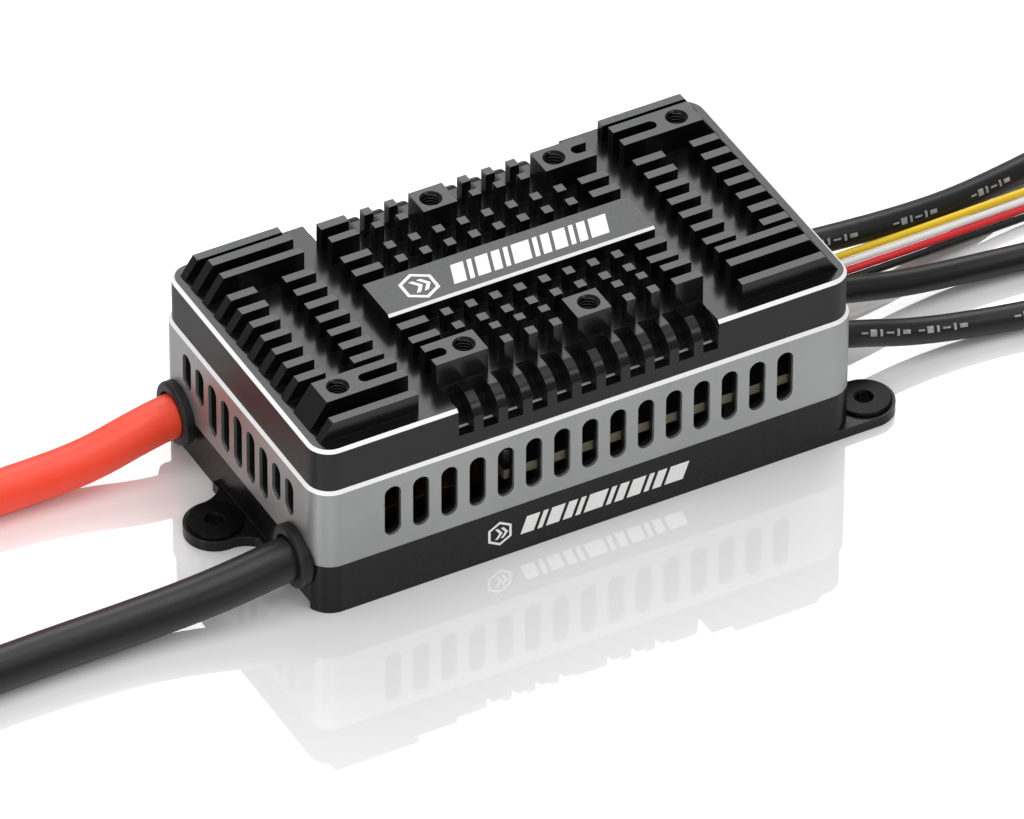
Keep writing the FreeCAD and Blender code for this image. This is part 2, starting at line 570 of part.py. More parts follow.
pz = doc.addObject("Part::Box", "thermal_pad")
pz.setExpression("Length", "sheet.pad_length")
pz.setExpression("Width", "sheet.pad_width")
pz.setExpression("Height", "sheet.pad_thickness")
pz.setExpression("Placement.Base.x", "16.25 - sheet.pad_length / 2")
pz.setExpression("Placement.Base.y", "-sheet.pad_width / 2")
pz.setExpression("Placement.Base.z", "sheet.power_board_level + sheet.board_thickness + sheet.mosfet_height")
finish("thermal_pad", pz)

feature("current_shunts", Part.makeCompound([box(44.0, 50.4, y - 1.6, y + 1.6, PB0 - 0.8, PB0) for y in (-8.0, 7.0, 20.0)]))
chips = [box(12, 21, -4.5, 4.5, CB0 + CBT, CB0 + CBT + 1.2)]
for y in (-16.0, 0.0, 16.0):
    chips.append(box(30, 35, y - 3, y + 3, CB0 + CBT, CB0 + CBT + 1.4))
chips.append(box(2, 6, 8, 12, CB0 + CBT, CB0 + CBT + 1.6))
feature("control_chips", Part.makeCompound(chips))
ins = rounded_box(31.0, 29.5, TF, TF + 0.4, 2.0, 17.0, 0.0).cut([cyl(2.8, 2, (x, y, TF - 0.5)) for x, y in CSO + PSO])
feature("board_insulator", ins)

CR, CL, CZ = g("cap_radius"), g("cap_length"), g("cap_level")
cans, sleeves = [], []
for k in range(4):
    y = (k - 1.5) * g("cap_pitch")
    can = Part.makeCylinder(CR - 0.25, CL - 0.2, V(-50.1, y, CZ), V(1, 0, 0))
    cans.append(can.cut(Part.makeTorus(CR + 0.35, 0.9, V(-25.5, y, CZ), V(1, 0, 0))))
    sl = Part.makeCylinder(CR, CL - 3.0, V(-50.1, y, CZ), V(1, 0, 0)).cut(Part.makeCylinder(CR - 0.24, CL, V(-51.0, y, CZ), V(1, 0, 0)))
    sleeves.append(sl.common(Part.makeBox(24.0, 80, 60, V(-50.1, -40, 0))).cut(Part.makeTorus(CR + 0.35, 0.9, V(-25.5, y, CZ), V(1, 0, 0))))
feature("capacitors", Part.makeCompound(cans))
feature("capacitor_sleeves", Part.makeCompound(sleeves))
cb = doc.addObject("Part::Box", "capacitor_board")
cb.Length = 1.6
cb.Width = 60.0
cb.Height = 14.0
cb.Placement = Placement(V(-51.7, -30.0, 18.6), Rotation())
finish("capacitor_board", cb)

for name, s in (("bus_bar_positive", 1), ("bus_bar_negative", -1)):
    prof = [(-50.0, 10.0), (-19.4, 10.0), (-19.4, PB0 - 2.4), (18.0, PB0 - 2.4), (18.0, PB0), (-21.8, PB0), (-21.8, 12.4), (-50.0, 12.4)]
    ya, yb = (18.0, 23.5) if s > 0 else (-23.5, -18.0)
    feature(name, prism_y([(x, z) for x, z in prof], ya, yb))
feature("input_terminals", Part.makeCompound([box(-58.0, -50.0, s * PS - 4.6, s * PS + 4.6, LL - 4.2, LL + 4.2) for s in (1, -1)]))
pt = []
for k in (-1, 0, 1):
    y = k * g("phase_pitch")
    pt.append(box(53.0, 58.0, y - 2.9, y + 2.9, LL - 2.9, LL + 2.9).fuse(box(50.0, 51.4, y - 2.9, y + 2.9, LL - 2.0, PB0)).fuse(box(50.0, 54.0, y - 2.9, y + 2.9, LL - 2.0, LL - 0.5)).removeSplitter())
feature("phase_terminals", Part.makeCompound(pt))
feature("signal_header", box(46.0, 60.0, SY - 2.1, SY + 2.1, SZ - 3.7, SZ + 3.7))
feature("header_pins", Part.makeCompound([box(44.0, 46.0, SY + dy - 0.32, SY + dy + 0.32, CB0 + 0.4, CB0 + 1.2) for dy in (-1.6, 0.0, 1.6)]))


# ---------------------------------------------------------------- leads
def tube(name, route, od, report=[]):
    """A round tube along straight runs joined by tangent arcs."""
    P = [V(*p) for p in route]
    n = len(P)
    edges, at, radii = [], P[0], []
    for i in range(1, n - 1):
        a, c = P[i] - P[i - 1], P[i + 1] - P[i]
        la, lc = a.Length, c.Length
        turn = a.getAngle(c)
        ua, uc = V(a).normalize(), V(c).normalize()
        if turn < math.radians(0.15):
            raise RuntimeError("%s: point %d is in line" % (name, i))
        r = 0.45 * min(la, lc) / math.tan(turn / 2)
        t = 0.45 * min(la, lc)
        radii.append(r)
        s, e = P[i] - ua * t, P[i] + uc * t
        bis = (uc - ua).normalize()
        centre = P[i] + bis * math.sqrt(t * t + r * r)
        mid = centre - bis * r
        if (s - at).Length > 1e-6:
            edges.append(Part.LineSegment(at, s).toShape())
        edges.append(Part.Arc(s, mid, e).toShape())
        at = e
    edges.append(Part.LineSegment(at, P[-1]).toShape())
    path = Part.Wire(edges)
    d = (P[1] - P[0]).normalize()
    prof = Part.Wire([Part.Circle(P[0], d, od / 2).toShape()])
    mk = Part.BRepOffsetAPI.MakePipeShell(path)
    mk.setFrenetMode(False)
    mk.add(prof, False, False)
    mk.build()
    mk.makeSolid()
    s = mk.shape()
    want = math.pi * od * od / 4 * path.Length
    print("%s length %.1f smallest radius %.1f (%.1f diameters) volume ratio %.4f" % (name, path.Length, min(radii), min(radii) / od, s.Volume / want))
    if abs(s.Volume / want - 1) > 0.01 or not s.isValid():
        raise RuntimeError(name + " sweep is wrong")
    return feature(name, s)


LEADS = {
    "power_lead_positive": [(-57.9, 26.8, 11.2), (-66.6, 26.78, 11.15), (-76, 26.4, 9.66), (-88, 26.3, 6.55), (-103, 27.3, 5.15), (-124, 27.9, 4.97), (-148, 27.1, 4.95), (-174, 28.5, 4.95), (-198, 27.7, 4.95), (-218, 28.6, 4.95)],
    "power_lead_negative": [(-58, -26.8, 11.2), (-67.2, -26.9, 11.1), (-77, -26.8, 9.4), (-89, -25.6, 7.05), (-105, -24.4, 5.5), (-125, -23.9, 4.97), (-150, -24.7, 4.95), (-176, -23.3, 4.95), (-202, -24.3, 4.95), (-222, -23.4, 4.95)],
    "phase_lead_a": [(58, -15, 11.2), (67, -15.05, 11.05), (77, -16.0, 8.9), (89, -17.3, 5.5), (105, -19.4, 3.45), (125, -23.0, 3.05), (152, -27.2, 3.05), (182, -26.6, 3.08), (206, -28.3, 3.1)],
    "phase_lead_b": [(58, 0, 11.2), (68, -0.1, 11.05), (80, -1.4, 9.2), (95, -1.9, 5.65), (112, -2.2, 3.55), (133, -4.5, 3.05), (159, -9.2, 3.05), (186, -7.9, 3.05), (208, -9.6, 3.05)],
    "phase_lead_c": [(58, 15, 11.2), (71, 14.6, 11.3), (87, 13.3, 10.9), (103, 13.8, 9.2), (120, 17.0, 6.2), (140, 22.8, 3.35), (163, 27.4, 3.12), (188, 28.6, 3.12), (210, 30.9, 3.12)],
}
SIGNAL = [(60, 7.5, 6.6, 0), (67.6, 7.51, 6.59, 0), (75, 7.6, 6.55, 22), (88, 8.0, 6.4, 38), (103, 8.35, 6.05, 38), (122, 11.0, 3.9, 38), (146, 12.2, 3.2, 38), (174, 11.4, 3.2, 38), (202, 14.2, 3.4, 19), (224, 11.0, 3.6, 0), (237, -1.8, 3.6, 0), (240, -18.5, 3.6, 0)]


def wire_route(k):
    """The route of one wire of the ribbon, k steps from its middle. The ribbon leans back by the last number of each point, in degrees."""
    out = []
    for x, y, z, lean in SIGNAL:
        step, a = k * (1.77 if lean else 1.72), math.radians(lean)
        out.append((x, y + step * math.sin(a), z + step * math.cos(a)))
    return out


for name in ("power_lead_positive", "power_lead_negative"):
    tube(name, LEADS[name], g("power_od"))
for name in ("phase_lead_a", "phase_lead_b", "phase_lead_c"):
    tube(name, LEADS[name], g("phase_od"))
for name, k in (("signal_wire_yellow", 1.5), ("signal_wire_white", 0.5), ("signal_wire_red", -0.5), ("signal_wire_black", -1.5)):
    tube(name, wire_route(k), g("signal_od"))


def tip(name, lead, r, length):
    """The stripped and tinned end of a lead, starting at the insulation's end face."""
    a, c = V(*LEADS[lead][-2]), V(*LEADS[lead][-1])
    d = (c - a).normalize()
    s = Part.makeCylinder(r, length, c, d)
    s = s.makeFillet(min(0.8, r * 0.4), [e for e in s.Edges if e.BoundBox.Center.distanceToPoint(c + d * length) < 0.2])
    feature(name, s)


tip("power_tip_positive", "power_lead_positive", 3.0, 9.0)
tip("power_tip_negative", "power_lead_negative", 3.0, 9.0)
for k in "abc":
    tip("phase_tip_" + k, "phase_lead_" + k, 1.75, 8.0)

a, c = V(*SIGNAL[-2][:3]), V(*SIGNAL[-1][:3])
ang = math.degrees(math.atan2(c.y - a.y, c.x - a.x))
house = box(0, 12.0, -1.7, 1.7, -3.55, 4.1).cut([box(9.0, 13.0, -0.85, 0.85, (k * 1.8) + 0.275 - 0.6, (k * 1.8) + 0.275 + 0.6) for k in (-1.5, -0.5, 0.5, 1.5)])
feature("signal_plug", house, Placement(c, Rotation(V(0, 0, 1), ang)))
pins = Part.makeCompound([box(9.0, 11.4, -0.45, 0.45, (k * 1.8) + 0.275 - 0.3, (k * 1.8) + 0.275 + 0.3) for k in (-1.5, -0.5, 0.5, 1.5)])
feature("signal_contacts", pins, Placement(c, Rotation(V(0, 0, 1), ang)))

# ---------------------------------------------------------------- check and write
doc.recompute()
for o in doc.Objects:
    if "Invalid" in o.State or "Error" in o.State:
        raise RuntimeError("%s is %s" % (o.Name, o.State))
for name, o in parts.items():
    s = o.Shape
    if s.isNull() or not s.isValid() or not s.Solids:
        raise RuntimeError(name + " has no valid shape")
    bb = s.BoundBox
    print("%-24s solids %2d volume %10.1f  x %7.2f %7.2f  y %7.2f %7.2f  z %6.2f %6.2f" % (name, len(s.Solids), s.Volume, bb.XMin, bb.XMax, bb.YMin, bb.YMax, bb.ZMin, bb.ZMax))
os.makedirs("parts", exist_ok=True)
for name, o in parts.items():
    o.Shape.exportStep("parts/%s.step" % name)
print(len(parts), "nodes")
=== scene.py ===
import bpy, bmesh, math, random
from mathutils import Vector, Matrix


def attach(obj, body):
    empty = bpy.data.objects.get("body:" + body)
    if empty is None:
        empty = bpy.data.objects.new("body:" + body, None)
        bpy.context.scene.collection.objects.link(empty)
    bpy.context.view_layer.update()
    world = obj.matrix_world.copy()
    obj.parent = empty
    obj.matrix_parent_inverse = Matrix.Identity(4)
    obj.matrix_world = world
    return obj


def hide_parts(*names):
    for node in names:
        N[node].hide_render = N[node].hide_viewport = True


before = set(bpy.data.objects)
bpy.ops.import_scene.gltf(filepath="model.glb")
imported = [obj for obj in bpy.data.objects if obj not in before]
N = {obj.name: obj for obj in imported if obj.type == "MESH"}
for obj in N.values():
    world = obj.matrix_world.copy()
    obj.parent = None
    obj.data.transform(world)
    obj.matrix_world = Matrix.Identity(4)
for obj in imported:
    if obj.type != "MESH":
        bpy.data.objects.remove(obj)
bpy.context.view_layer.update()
MM = 0.001
random.seed(7)

# ------------------------------------------------------------------ camera
L = 0.130
az, el, roll = -0.49810416, 0.68622042, 0.00436666
dist, tx, ty, fpx = 20.98088475, 0.00551168, 0.03518722, 12747.6337
back = Vector((math.sin(az) * math.cos(el), -math.cos(az) * math.cos(el), math.sin(el)))
right = Vector((math.cos(az), math.sin(az), 0.0))
up = back.cross(right)
r2 = right * math.cos(roll) + up * math.sin(roll)
u2 = up * math.cos(roll) - right * math.sin(roll)
place = (back * dist + right * tx + up * ty) * L
cam_data = bpy.data.cameras.new("camera")
cam_data.sensor_width = 36.0
cam_data.sensor_fit = "HORIZONTAL"
cam_data.lens = fpx * 36.0 / 1024.0
cam_data.clip_start = 0.05
cam_data.clip_end = 50.0
cam = bpy.data.objects.new("camera", cam_data)
bpy.context.scene.collection.objects.link(cam)
cam.matrix_world = Matrix(((r2.x, u2.x, back.x, place.x), (r2.y, u2.y, back.y, place.y), (r2.z, u2.z, back.z, place.z), (0, 0, 0, 1)))
bpy.context.scene.camera = cam
bpy.context.scene.view_settings.view_transform = "Standard"


# ------------------------------------------------------------------ node helpers
def material(name):
    m = bpy.data.materials.new(name)
    m.use_nodes = True
    m.node_tree.nodes.clear()
    out = m.node_tree.nodes.new("ShaderNodeOutputMaterial")
    bsdf = m.node_tree.nodes.new("ShaderNodeBsdfPrincipled")
    m.node_tree.links.new(bsdf.outputs["BSDF"], out.inputs["Surface"])
    return m, m.node_tree, bsdf


def node(t, kind, **kw):
    n = t.nodes.new(kind)
    for k, v in kw.items():
        if k in n.inputs:
            n.inputs[k].default_value = v
        else:
            setattr(n, k, v)
    return n


def noise(t, scale, detail=4.0, rough=0.5, stretch=None, distortion=0.0):
    co = node(t, "ShaderNodeTexCoord")
    src = co.outputs["Object"]
    if stretch:
        mp = node(t, "ShaderNodeMapping")
        mp.inputs["Scale"].default_value = stretch
        t.links.new(src, mp.inputs["Vector"])
        src = mp.outputs["Vector"]
    n = node(t, "ShaderNodeTexNoise")
    n.inputs["Scale"].default_value = scale
    n.inputs["Detail"].default_value = detail
    n.inputs["Roughness"].default_value = rough
    n.inputs["Distortion"].default_value = distortion
    t.links.new(src, n.inputs["Vector"])
    return n.outputs["Fac"]


def remap(t, src, a, b, lo=0.3, hi=0.7):
    m = node(t, "ShaderNodeMapRange")
    m.inputs["From Min"].default_value = lo
    m.inputs["From Max"].default_value = hi
    m.inputs["To Min"].default_value = a
    m.inputs["To Max"].default_value = b
    t.links.new(src, m.inputs["Value"])
    return m.outputs["Result"]


def mul(t, a, b):
    k = node(t, "ShaderNodeMath", operation="MULTIPLY")
    t.links.new(a, k.inputs[0])
    t.links.new(b, k.inputs[1])
    return k.outputs[0]


def two_colours(t, src, a, b, lo=0.3, hi=0.7):
    r = node(t, "ShaderNodeValToRGB")
    r.color_ramp.elements[0].position = lo
    r.color_ramp.elements[0].color = (*a, 1)
    r.color_ramp.elements[1].position = hi
    r.color_ramp.elements[1].color = (*b, 1)
    t.links.new(src, r.inputs["Fac"])
    return r.outputs["Color"]


def bump(t, bsdf, sources, edge=None):
    """sources is a list of (height socket, strength, distance)."""
    normal = None
    if edge:
        bv = node(t, "ShaderNodeBevel")
        bv.samples = 6
        bv.inputs["Radius"].default_value = edge
        normal = bv.outputs["Normal"]
    for src, strength, dist_m in sources:
        b = node(t, "ShaderNodeBump")
        b.inputs["Strength"].default_value = strength
        b.inputs["Distance"].default_value = dist_m
        t.links.new(src, b.inputs["Height"])
        if normal is not None:
            t.links.new(normal, b.inputs["Normal"])
        normal = b.outputs["Normal"]
    if normal is not None:
        t.links.new(normal, bsdf.inputs["Normal"])


def simple(name, a, b, rough=(0.35, 0.5), metallic=0.0, grain=900.0, grain_strength=0.15, grain_height=0.00004, tone=40.0, edge=None, stretch=None, coat=0.0, specular=0.5):
    """A procedural material: slow colour change between a and b, fine grain in roughness and height."""
    m, t, s = material(name)
    s.inputs["Metallic"].default_value = metallic
    s.inputs["Specular IOR Level"].default_value = specular
    if coat:
        s.inputs["Coat Weight"].default_value = coat
        s.inputs["Coat Roughness"].default_value = 0.12
    t.links.new(two_colours(t, noise(t, tone, 5.0, 0.6), a, b), s.inputs["Base Color"])
    fine = noise(t, grain, 3.0, 0.6, stretch)
    t.links.new(remap(t, fine, rough[0], rough[1]), s.inputs["Roughness"])
    bump(t, s, [(fine, grain_strength, grain_height)], edge)
    return m


def wear_and_edge_highlight(name, body, worn_and_lit_edge, rough=0.4, metallic=0.0, edge_width=0.0003, grain=1400.0, grain_height=0.00003, tone=35.0, mix=0.6, specular=0.5, lift=0.12):
    """As simple, with paler edges where the surface turns sharply; the pale edge colour is wear on the threads and a
    painted rim highlight on the tray.
    """
    m, t, s = material(name)
    s.inputs["Metallic"].default_value = metallic
    s.inputs["Specular IOR Level"].default_value = specular
    fine = noise(t, grain, 3.0, 0.65)
    base = two_colours(t, noise(t, tone, 5.0, 0.6), body, tuple(c * 1.3 + 0.003 for c in body))
    bv = node(t, "ShaderNodeBevel")
    bv.samples = 6
    bv.inputs["Radius"].default_value = edge_width
    geo = node(t, "ShaderNodeNewGeometry")
    dot = node(t, "ShaderNodeVectorMath", operation="DOT_PRODUCT")
    t.links.new(bv.outputs["Normal"], dot.inputs[0])
    t.links.new(geo.outputs["Normal"], dot.inputs[1])
    e = remap(t, dot.outputs["Value"], 1.0, 0.0, 0.90, 0.995)
    g = node(t, "ShaderNodeMath", operation="MULTIPLY")
    t.links.new(e, g.inputs[0])
    t.links.new(remap(t, noise(t, 260.0, 3.0, 0.7), 0.25, 1.0), g.inputs[1])
    k = node(t, "ShaderNodeMath", operation="MULTIPLY")
    t.links.new(g.outputs[0], k.inputs[0])
    k.inputs[1].default_value = mix
    mx = node(t, "ShaderNodeMix", data_type="RGBA")
    t.links.new(k.outputs[0], mx.inputs["Factor"])
    t.links.new(base, mx.inputs[6])
    mx.inputs[7].default_value = (*worn_and_lit_edge, 1)
    t.links.new(mx.outputs[2], s.inputs["Base Color"])
    t.links.new(remap(t, fine, rough - 0.06, rough + 0.08), s.inputs["Roughness"])
    bump(t, s, [(fine, 0.2, grain_height)], edge_width)
    return m


def give(names, m):
    for n in names:
        o = N[n]
        o.data.materials.clear()
        o.data.materials.append(m)


# ------------------------------------------------------------------ cords
def spline(name, route, radius, resolution=24, bevel=12):
    cu = bpy.data.curves.new(name, "CURVE")
    cu.dimensions = "3D"
    cu.bevel_depth = radius
    cu.bevel_resolution = bevel
    cu.use_fill_caps = True
    cu.resolution_u = resolution
    sp = cu.splines.new("NURBS")
    sp.points.add(len(route) - 1)
    for p, (x, y, z) in zip(sp.points, route):
        p.co = (x * MM, y * MM, z * MM, 1.0)
        p.radius = MM
    sp.order_u = 3
    sp.use_endpoint_u = True
    sp.use_smooth = True
    o = bpy.data.objects.new(name, cu)
    bpy.context.scene.collection.objects.link(o)
    return o


LEADS = {
    "power_lead_positive": [(-57.9, 26.8, 11.2), (-66.6, 26.78, 11.15), (-76, 26.4, 9.66), (-88, 26.3, 6.55), (-103, 27.3, 5.15), (-124, 27.9, 4.97), (-148, 27.1, 4.95), (-174, 28.5, 4.95), (-198, 27.7, 4.95), (-218, 28.6, 4.95)],
    "power_lead_negative": [(-58, -26.8, 11.2), (-67.2, -26.9, 11.1), (-77, -26.8, 9.4), (-89, -25.6, 7.05), (-105, -24.4, 5.5), (-125, -23.9, 4.97), (-150, -24.7, 4.95), (-176, -23.3, 4.95), (-202, -24.3, 4.95), (-222, -23.4, 4.95)],
    "phase_lead_a": [(58, -15, 11.2), (67, -15.05, 11.05), (77, -16.0, 8.9), (89, -17.3, 5.5), (105, -19.4, 3.45), (125, -23.0, 3.05), (152, -27.2, 3.05), (182, -26.6, 3.08), (206, -28.3, 3.1)],
    "phase_lead_b": [(58, 0, 11.2), (68, -0.1, 11.05), (80, -1.4, 9.2), (95, -1.9, 5.65), (112, -2.2, 3.55), (133, -4.5, 3.05), (159, -9.2, 3.05), (186, -7.9, 3.05), (208, -9.6, 3.05)],
    "phase_lead_c": [(58, 15, 11.2), (71, 14.6, 11.3), (87, 13.3, 10.9), (103, 13.8, 9.2), (120, 17.0, 6.2), (140, 22.8, 3.35), (163, 27.4, 3.12), (188, 28.6, 3.12), (210, 30.9, 3.12)],
}
SIGNAL = [(60, 7.5, 6.6, 0), (67.6, 7.51, 6.59, 0), (75, 7.6, 6.55, 22), (88, 8.0, 6.4, 38), (103, 8.35, 6.05, 38), (122, 11.0, 3.9, 38), (146, 12.2, 3.2, 38), (174, 11.4, 3.2, 38), (202, 14.2, 3.4, 19), (224, 11.0, 3.6, 0), (237, -1.8, 3.6, 0), (240, -18.5, 3.6, 0)]


def wire_route(k):
    """The route of one wire of the ribbon, k steps from its middle. The ribbon leans back by the last number of each point, in degrees."""
    out = []
    for x, y, z, lean in SIGNAL:
        step, a = k * (1.77 if lean else 1.72), math.radians(lean)
        out.append((x, y + step * math.sin(a), z + step * math.cos(a)))
    return out

leads = {}
for name, tip in (("power_lead_positive", "power_tip_positive"), ("power_lead_negative", "power_tip_negative"), ("phase_lead_a", "phase_tip_a"), ("phase_lead_b", "phase_tip_b"), ("phase_lead_c", "phase_tip_c")):
    thick = 4.9 if "power" in name else 3.0
    o = spline(name + "_sleeve", LEADS[name], thick)
    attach(o, "root")
    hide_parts(name)
    leads[name] = o
for name, k in (("signal_wire_yellow", 1.5), ("signal_wire_white", 0.5), ("signal_wire_red", -0.5), ("signal_wire_black", -1.5)):
    route = wire_route(k)
    o = spline(name + "_sleeve", route, 0.85, 24, 8)
    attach(o, "root")
    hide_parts(name)
    leads[name] = o

# ------------------------------------------------------------------ materials
black_anodised = wear_and_edge_highlight("black_anodised", (0.004, 0.004, 0.0045), (0.12, 0.12, 0.125), rough=0.38, metallic=0.0, edge_width=0.00018, grain=2600.0, grain_height=0.00002, specular=0.7, mix=0.5)
# painted highlight: the tray's pale grey edge colour stands in for the bright rims along its edges
tray_black = wear_and_edge_highlight("tray_black", (0.003, 0.003, 0.0033), (0.30, 0.30, 0.31), rough=0.30, edge_width=0.00016, grain=2600.0, grain_height=0.000004, specular=0.22, mix=0.4)
bush = simple("bush_black", (0.002, 0.002, 0.0021), (0.004, 0.004, 0.0042), (0.26, 0.34), 0.0, 1600.0, 0.08, edge=0.00015, specular=0.09)
rubber = simple("grommet_rubber", (0.005, 0.005, 0.005), (0.010, 0.010, 0.010), (0.40, 0.55), 0.0, 900.0, 0.25, edge=0.0003, specular=0.35)
# painted shade: the control and capacitor boards get a near-black colour that stands in for the shade inside the case
board_painted_shade = simple("board_painted_shade_mask", (0.006, 0.009, 0.007), (0.010, 0.014, 0.011), (0.25, 0.4), 0.0, 700.0, 0.2, edge=0.0001, coat=0.4)
chip = simple("chip_mould", (0.018, 0.018, 0.019), (0.03, 0.03, 0.031), (0.5, 0.65), 0.0, 3000.0, 0.25, edge=0.0001)
pad = simple("pad_soft", (0.35, 0.40, 0.46), (0.45, 0.50, 0.55), (0.7, 0.85), 0.0, 500.0, 0.4, edge=0.0002)
shunt = simple("shunt_alloy", (0.45, 0.38, 0.32), (0.58, 0.50, 0.44), (0.3, 0.45), 1.0, 1500.0, 0.2, stretch=(1, 8, 1), edge=0.0001)
# painted shade: the amber insulator film is darkened to stand in for the shade inside the case
film_painted_shade = simple("amber_film", (0.10, 0.055, 0.012), (0.14, 0.08, 0.02), (0.25, 0.4), 0.0, 300.0, 0.2, edge=0.0001)
can = simple("can_aluminium", (0.72, 0.72, 0.73), (0.82, 0.82, 0.82), (0.2, 0.35), 1.0, 1200.0, 0.15, stretch=(8, 1, 1), edge=0.0003)
sleeve = simple("shrink_sleeve", (0.012, 0.012, 0.014), (0.022, 0.022, 0.026), (0.22, 0.38), 0.0, 400.0, 0.2, edge=0.0003, coat=0.3)
copper = simple("bare_copper", (0.62, 0.30, 0.16), (0.78, 0.42, 0.24), (0.25, 0.42), 1.0, 900.0, 0.2, stretch=(1, 6, 6), edge=0.0002)
tinned = simple("tinned_strand", (0.62, 0.61, 0.58), (0.78, 0.77, 0.74), (0.22, 0.4), 1.0, 600.0, 0.5, 0.0002, stretch=(1, 6, 6), edge=0.0002)
brass = simple("turned_brass", (0.70, 0.52, 0.24), (0.82, 0.64, 0.32), (0.22, 0.36), 1.0, 1500.0, 0.15, stretch=(1, 1, 8), edge=0.0002)
zinc = simple("zinc_steel", (0.55, 0.55, 0.56), (0.68, 0.68, 0.68), (0.25, 0.4), 1.0, 1500.0, 0.15, edge=0.00015)
oxide = simple("black_oxide", (0.03, 0.03, 0.032), (0.05, 0.05, 0.052), (0.3, 0.45), 0.6, 1500.0, 0.15, edge=0.0002)
nylon = simple("nylon_header", (0.78, 0.76, 0.70), (0.86, 0.84, 0.78), (0.35, 0.5), 0.0, 900.0, 0.15, edge=0.0002)
plug_black = simple("plug_mould", (0.014, 0.014, 0.015), (0.024, 0.024, 0.025), (0.3, 0.45), 0.0, 1100.0, 0.2, edge=0.0002)
contact = simple("plated_contact", (0.80, 0.62, 0.28), (0.88, 0.72, 0.38), (0.18, 0.3), 1.0, 900.0, 0.1, edge=0.0001)



def cover_material():
    """Black anodised aluminium: glossy sides, blasted grey tops of fins and bosses, bright cut edge, and a painted
    highlight along the foot of each groove.
    """
    m, t, s = material("cover_anodised")
    s.inputs["Specular IOR Level"].default_value = 0.38
    co = node(t, "ShaderNodeTexCoord")
    sep = node(t, "ShaderNodeSeparateXYZ")
    t.links.new(co.outputs["Object"], sep.inputs[0])
    geo = node(t, "ShaderNodeNewGeometry")
    nrm = node(t, "ShaderNodeSeparateXYZ")
    t.links.new(geo.outputs["True Normal"], nrm.inputs[0])

    def step(src, at, soft):
        return remap(t, src, 0.0, 1.0, at - soft, at + soft)

    up_face = step(nrm.outputs["Z"], 0.97, 0.01)
    top = mul(t, step(sep.outputs["Z"], 0.0477, 0.00005), up_face)
    # the cut edge round the base: a narrow slanted face
    slant = mul(t, step(nrm.outputs["Z"], 0.60, 0.02), remap(t, nrm.outputs["Z"], 1.0, 0.0, 0.80, 0.84))
    low = remap(t, sep.outputs["Z"], 1.0, 0.0, 0.04337, 0.0434)
    high = step(sep.outputs["Z"], 0.0425, 0.00005)
    edge = mul(t, mul(t, slant, low), high)
    ax = node(t, "ShaderNodeMath", operation="ABSOLUTE")
    t.links.new(sep.outputs["X"], ax.inputs[0])
    bar_edge = mul(t, mul(t, slant, mul(t, step(sep.outputs["Z"], 0.0474, 0.00005), remap(t, sep.outputs["Z"], 1.0, 0.0, 0.04797, 0.048))), remap(t, ax.outputs[0], 1.0, 0.0, 0.0320, 0.0321))
    fine = noise(t, 2600.0, 3.0, 0.7)
    slow = noise(t, 35.0, 5.0, 0.6)
    base = two_colours(t, slow, (0.0025, 0.0025, 0.0027), (0.0045, 0.0045, 0.0048))
    tops = two_colours(t, fine, (0.070, 0.071, 0.073), (0.120, 0.122, 0.125))
    a = node(t, "ShaderNodeMix", data_type="RGBA")
    t.links.new(top, a.inputs["Factor"])
    t.links.new(base, a.inputs[6])
    t.links.new(tops, a.inputs[7])
    # painted highlight: a white glint line low on the slanted floor at the foot of each groove, standing in for a
    # reflection of the light
    ay = node(t, "ShaderNodeMath", operation="ABSOLUTE")
    t.links.new(sep.outputs["Y"], ay.inputs[0])
    painted_glint_band = mul(t, remap(t, sep.outputs["Z"], 1.0, 0.0, 0.03634, 0.03642), mul(t, step(sep.outputs["Z"], 0.03621, 0.00002), step(ay.outputs[0], 0.0316, 0.0006)))
    painted_glint = mul(t, painted_glint_band, mul(t, step(nrm.outputs["Z"], 0.55, 0.05), remap(t, nrm.outputs["Z"], 1.0, 0.0, 0.97, 0.985)))
    bright = node(t, "ShaderNodeMath", operation="MAXIMUM")
    t.links.new(edge, bright.inputs[0])
    t.links.new(bar_edge, bright.inputs[1])
    painted_glint_strength = node(t, "ShaderNodeMath", operation="MULTIPLY")
    t.links.new(painted_glint, painted_glint_strength.inputs[0])
    painted_glint_strength.inputs[1].default_value = 0.42
    both = node(t, "ShaderNodeMath", operation="MAXIMUM")
    t.links.new(bright.outputs[0], both.inputs[0])
    t.links.new(painted_glint_strength.outputs[0], both.inputs[1])
    # mix towards white for the cut edges and for the painted glint
    b = node(t, "ShaderNodeMix", data_type="RGBA")
    t.links.new(both.outputs[0], b.inputs["Factor"])
    t.links.new(a.outputs[2], b.inputs[6])
    b.inputs[7].default_value = (0.9, 0.9, 0.9, 1)
    t.links.new(b.outputs[2], s.inputs["Base Color"])
    r = node(t, "ShaderNodeMix", data_type="FLOAT")
    t.links.new(top, r.inputs["Factor"])
    flank = mul(t, remap(t, sep.outputs["Z"], 1.0, 0.0, 0.04255, 0.04265), remap(t, nrm.outputs["Z"], 1.0, 0.0, 0.05, 0.1))
    q = node(t, "ShaderNodeMix", data_type="FLOAT")
    t.links.new(flank, q.inputs["Factor"])
    t.links.new(remap(t, fine, 0.17, 0.26), q.inputs[2])
    t.links.new(remap(t, fine, 0.42, 0.50), q.inputs[3])
    t.links.new(q.outputs[0], r.inputs[2])
    t.links.new(remap(t, fine, 0.42, 0.58), r.inputs[3])
    t.links.new(r.outputs[0], s.inputs["Roughness"])
    bump(t, s, [(fine, 0.12, 0.00002)], 0.00012)
    return m


give(["heatsink_cover"], cover_material())
give(["base_tray"], tray_black)


